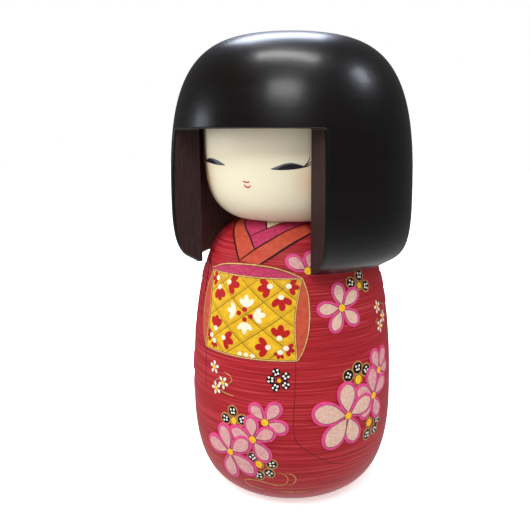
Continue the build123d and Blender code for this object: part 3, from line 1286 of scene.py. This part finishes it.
@dataclass
class FacePainting:
    """The eyes, the lashes and the mouth.

    Attributes:
        painter: Paints them on.
    """

    painter: Painter

    def paint_eye(self, outline: tuple[Line, Line], core: tuple[Line, Line]) -> None:
        """Paints a nearly closed eye: a grey shape with a dark core along its lower edge.

        Args:
            outline: The lower and upper edges, from low to high azimuth.
            core: The core's lower and upper edges, from low to high azimuth.
        """
        self.painter.panel(EYE_GREY, *outline, 1.2 * COAT)
        self.painter.panel(EYE_BLACK, *core, 2.2 * COAT)
        self.painter.stroke(EYE_BLACK, outline[0], 0.3, 2.6 * COAT, (0.2, 0.6))

    def paint(self) -> None:
        """Paints the face."""
        self.paint_eye(
            (
                ((16.6, 167.7), (20.7, 167.5), (27.2, 167.6), (33.0, 168.1), (37.0, 168.7)),
                ((16.6, 167.8), (20.7, 169.0), (25.1, 170.2), (28.7, 170.5), (32.3, 170.0), (37.0, 168.9)),
            ),
            (
                ((20.2, 167.5), (27.2, 167.6), (33.0, 168.1), (37.0, 168.7)),
                ((20.2, 167.7), (24.5, 169.3), (28.7, 169.9), (33.0, 169.6), (37.0, 168.8)),
            ),
        )
        self.paint_eye(
            (
                ((-42.0, 170.0), (-31.5, 169.5), (-23.1, 169.0), (-15.6, 168.9)),
                ((-42.0, 170.2), (-37.0, 171.4), (-30.0, 171.8), (-21.5, 170.7), (-15.6, 169.1)),
            ),
            (
                ((-42.0, 170.0), (-31.5, 169.5), (-24.0, 169.1)),
                ((-42.0, 170.2), (-36.0, 171.3), (-30.0, 171.1), (-24.0, 169.5)),
            ),
        )
        lashes = (
            ((36.2, 169.0), (38.3, 170.8), (39.5, 173.4)),
            ((36.2, 168.9), (38.5, 170.0), (40.4, 171.2)),
            ((35.5, 168.5), (38.0, 169.0), (40.3, 170.0)),
            ((-41.0, 170.2), (-43.2, 172.2), (-44.2, 174.6)),
            ((-41.0, 170.1), (-43.6, 171.2), (-45.4, 172.4)),
            ((-40.5, 169.8), (-43.0, 170.3), (-45.3, 171.2)),
        )
        for lash in lashes:
            self.painter.stroke(EYE_BLACK, lash, 0.42, 2.4 * COAT, (0.9, 0.2))
        lips = (
            ((-2.0, 162.0), (-0.8, 161.7), (0.6, 161.5), (2.8, 161.8)),
            ((-1.4, 160.5), (-0.5, 159.6), (1.4, 159.2), (3.3, 160.1)),
        )
        for lip in lips:
            self.painter.stroke(LIP_RED, lip, 0.72, 1.5 * COAT, (0.5, 0.5))
        self.painter.finish("face")


@dataclass
class HairFinishing:
    """Gives the cap's outside, its sawn faces and its bore their own finishes.

    Attributes:
        node: The cap.
        bore_radius: Nothing outside this radius belongs to the bore, in millimetres.
        rim_top: Flat faces below this height are the rim's.
        window_top: The height of the fringe's underside.
        window_front: The cheeks and the fringe lie in front of this Y.
        splay: The angle between a cheek's cut and straight ahead, in degrees.
    """

    node: bpy.types.Object
    bore_radius: float = 48.6
    rim_top: float = 122.0
    window_top: float = 185.3
    window_front: float = -25.0
    splay: float = 56.0

    def finish_at(self, place: Vector, normal: Vector) -> int:
        """Which finish a face has.

        Args:
            place: The face's middle, in millimetres.
            normal: The way that it faces.

        Returns:
            0 where it's lacquered, 1 where it's sawn and 2 in the bore.
        """
        x, y, z = place
        radius = max(math.hypot(x, y), 1e-6)
        outward = (normal.x * x + normal.y * y) / radius
        splay = math.radians(self.splay)
        into_window = -normal.x * math.copysign(math.cos(splay), x) - normal.y * math.sin(splay)
        in_front = y < self.window_front
        facing_down = normal.z < -0.9
        fringe = facing_down and in_front and abs(z - self.window_top) < 0.1
        cheek = into_window > 0.97 and in_front and z < self.window_top
        rim = facing_down and z < self.rim_top
        if fringe or cheek or rim:
            return 1
        wall = radius < self.bore_radius and outward < -0.3
        ceiling = normal.z < -0.5 and z > self.window_top + 2
        return 2 if wall or ceiling else 0

    def apply(self) -> None:
        """Sorts the cap's faces by where they are and how they face."""
        mesh = self.node.data
        mesh.materials.clear()
        for finish in (HAIR_LACQUER, HAIR_CUT, HAIR_INSIDE):
            mesh.materials.append(finish.material())
        counts = [0, 0, 0]
        for face in mesh.polygons:
            face.material_index = self.finish_at(face.center / MM, face.normal)
            counts[face.material_index] += 1
        LOG.info("hair faces: %d lacquered, %d sawn, %d inside", *counts)


# ---- The studio ----


@dataclass(frozen=True)
class SoftLight:
    """A large soft light that looks at a point on the doll.

    Attributes:
        name: Its name.
        azimuth: Where it stands round the doll, in degrees.
        elevation: How high it stands, in degrees above level.
        distance: How far from the doll's middle it is, in metres.
        size: Its width and height, in metres.
        watts: Its power.
        mirrored: Whether glossy surfaces show it.
        colour: Its colour, as #rrggbb.
    """

    name: str
    azimuth: float
    elevation: float
    distance: float
    size: Pair
    watts: float
    mirrored: bool = True
    colour: str = "#ffffff"

    def hang(self) -> None:
        """Puts the light up."""
        doll_middle = 0.13
        turn, rise = math.radians(self.azimuth), math.radians(self.elevation)
        level = self.distance * math.cos(rise)
        height = doll_middle + self.distance * math.sin(rise)
        place = (level * math.sin(turn), -level * math.cos(turn), height)
        aim = (math.radians(90 - self.elevation), 0.0, turn)
        bpy.ops.object.light_add(type="AREA", location=place, rotation=aim)
        light = bpy.context.active_object
        light.name = self.name
        light.data.shape = "RECTANGLE"
        light.data.size, light.data.size_y = self.size
        light.data.energy = self.watts
        light.data.color = linear(self.colour)[:3]
        light.visible_glossy = self.mirrored


@dataclass
class Studio:
    """The floor, the lights, the surroundings and the camera.

    Attributes:
        lights: The soft lights near the doll.
        floor_size: The floor's width, in metres.
        sun_strength: The wide light from above, in watts for each square metre.
        sun_spread: How wide that light is, in degrees.
        sun_tilt: How it's turned about X and about Z, in degrees.
        white: How bright the surroundings look where nothing stands.
        ambient: How strongly they light the doll.
        mirrored: How bright they are in the doll's gloss from right below, and elsewhere.
        camera_azimuth: Where the camera stands round the doll, in degrees.
        camera_level: How far it is from the axis, in metres.
        camera_height: How high it is, in metres.
        camera_pitch: How far it looks up from level, in degrees.
        lens: Its focal length, in millimetres.
        shift: How far the picture is moved aside, as a share of its width.
    """

    lights: tuple[SoftLight, ...] = (
        SoftLight("key", 22.0, 42.0, 0.95, (0.4, 0.2), 3.0),
        SoftLight("right", 116.0, 42.0, 0.95, (0.2, 0.2), 1.55, colour="#e9efff"),
        SoftLight("left", -62.0, 13.0, 0.95, (0.26, 0.22), 0.95, colour="#e9efff"),
        SoftLight("overhead", 15.0, 80.0, 0.85, (0.6, 0.15), 4.8),
        SoftLight("back", 216.0, 52.0, 0.9, (0.46, 0.34), 5.4, colour="#dfe8ff"),
        SoftLight("left_fill", -52.0, 15.0, 1.0, (0.6, 0.6), 3.4, mirrored=False),
        SoftLight("right_fill", 84.0, 8.0, 1.1, (0.6, 0.5), 1.5, mirrored=False),
    )
    floor_size: float = 6.0
    sun_strength: float = 1.05
    sun_spread: float = 50.0
    sun_tilt: Pair = (22.0, -10.0)
    white: float = 1.0
    ambient: float = 0.66
    mirrored: Pair = (1.5, 0.1)
    camera_azimuth: float = 29.0
    camera_level: float = 0.330
    camera_height: float = 0.1834
    camera_pitch: float = -11.65
    lens: float = 43.47
    shift: float = -0.0506

    def build(self) -> None:
        """Builds the studio."""
        self.lay_floor()
        for light in self.lights:
            light.hang()
        self.hang_sun()
        self.wrap()
        bpy.context.scene.view_settings.view_transform = "Standard"
        self.set_camera()

    def lay_floor(self) -> None:
        """Lays a floor that catches shadows, but sends no light of its own back to the doll."""
        bpy.ops.mesh.primitive_plane_add(size=self.floor_size)
        floor = bpy.context.active_object
        floor.name = "floor"
        floor.data.materials.append(StudioFloor("pale_floor", "#f7f7f5", 0.8, glow=0.55).material())
        floor.visible_diffuse = False
        floor.visible_glossy = False

    def hang_sun(self) -> None:
        """Adds the wide light from above."""
        about_x, about_z = (math.radians(tilt) for tilt in self.sun_tilt)
        bpy.ops.object.light_add(type="SUN", rotation=(about_x, 0.0, about_z))
        sun = bpy.context.active_object
        sun.name = "sky"
        sun.data.energy = self.sun_strength
        sun.data.angle = math.radians(self.sun_spread)
        sun.visible_glossy = False

    def wrap(self) -> None:
        """Puts white surroundings round the doll, dimmer in its light and in its gloss."""
        world = bpy.data.worlds.new("studio")
        bpy.context.scene.world = world
        world.use_nodes = True
        tree = world.node_tree
        ground = tree.nodes["Background"]
        ground.inputs["Color"].default_value = linear("#ffffff")
        rays = add_node(tree, "ShaderNodeLightPath").outputs
        way = add_node(tree, "ShaderNodeTexCoord").outputs["Generated"]
        upward = add_node(tree, "ShaderNodeSeparateXYZ", {"Vector": way}).outputs["Z"]
        below, elsewhere = self.mirrored
        fade = {"Value": upward, "From Min": -1.0, "From Max": -0.1, "To Min": below, "To Max": elsewhere}
        gloss = add_node(tree, "ShaderNodeMapRange", fade, interpolation_type="SMOOTHSTEP").outputs["Result"]
        unseen = {"Value": rays["Is Glossy Ray"], "To Min": self.ambient, "To Max": gloss}
        dim = add_node(tree, "ShaderNodeMapRange", unseen).outputs["Result"]
        seen = {"Value": rays["Is Camera Ray"], "To Min": dim, "To Max": self.white}
        strength = add_node(tree, "ShaderNodeMapRange", seen).outputs["Result"]
        tree.links.new(strength, ground.inputs["Strength"])

    def set_camera(self) -> None:
        """Sets the camera up."""
        turn = math.radians(self.camera_azimuth)
        place = (self.camera_level * math.sin(turn), -self.camera_level * math.cos(turn), self.camera_height)
        bpy.ops.object.camera_add(location=place, rotation=(math.radians(90 + self.camera_pitch), 0.0, turn))
        camera = bpy.context.active_object
        camera.name = "camera"
        camera.data.lens = self.lens
        camera.data.sensor_width = 36.0
        camera.data.shift_x = self.shift
        camera.data.clip_start = 0.01
        bpy.context.scene.camera = camera


def face_finish(skin: Skin) -> PowderedFace:
    """The face's finish: cream poster colour, polished a little, with a warm blush dabbed on.

    Args:
        skin: The ball's skin, which the blushes are placed on.

    Returns:
        The finish.
    """
    cheeks = []
    for azimuth, height in ((-40.0, 163.0), (40.0, 162.5)):
        spot = skin.roll(np.array([azimuth]), np.array([float(skin.length_at(height))]), 0.0)[0]
        cheeks.append(tuple(float(value) for value in spot))
    return PowderedFace("powdered_face", "#f2e8cb", 0.4, 0.4, blush="#eeb482", cheeks=tuple(cheeks))


def dress_node(node: bpy.types.Object, finish: Finish) -> None:
    """Gives a CAD node one finish.

    Args:
        node: The node.
        finish: The finish.
    """
    node.data.materials.clear()
    node.data.materials.append(finish.material())
    for face in node.data.polygons:
        face.material_index = 0
    LOG.info("%s: %s", node.name, finish.name)


def main() -> None:
    """Builds the doll and its studio."""
    logging.basicConfig(level=logging.INFO, format="%(message)s")
    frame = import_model()
    nodes = frame["nodes"]
    stencils = StencilBox()

    # The bores and the flat ends lie nearer the axis than these radii.
    body_skin = Skin(nodes["torso"], least_radius=20.0)
    face_skin = Skin(nodes["face_ball"], least_radius=28.0)
    dress_node(nodes["torso"], RED_BODY)
    dress_node(nodes["face_ball"], face_finish(face_skin))
    for name in ("neck_dowel", "crown_dowel"):
        dress_node(nodes[name], BARE_WOOD)
    HairFinishing(nodes["hair_cap"]).apply()

    BodyPainting(Painter(body_skin, "body", Slot.BODY, stencils)).paint()
    FacePainting(Painter(face_skin, "head", Slot.FACE, stencils)).paint()
    stencils.put_away()

    Studio().build()


if __name__ == "__main__":
    main()
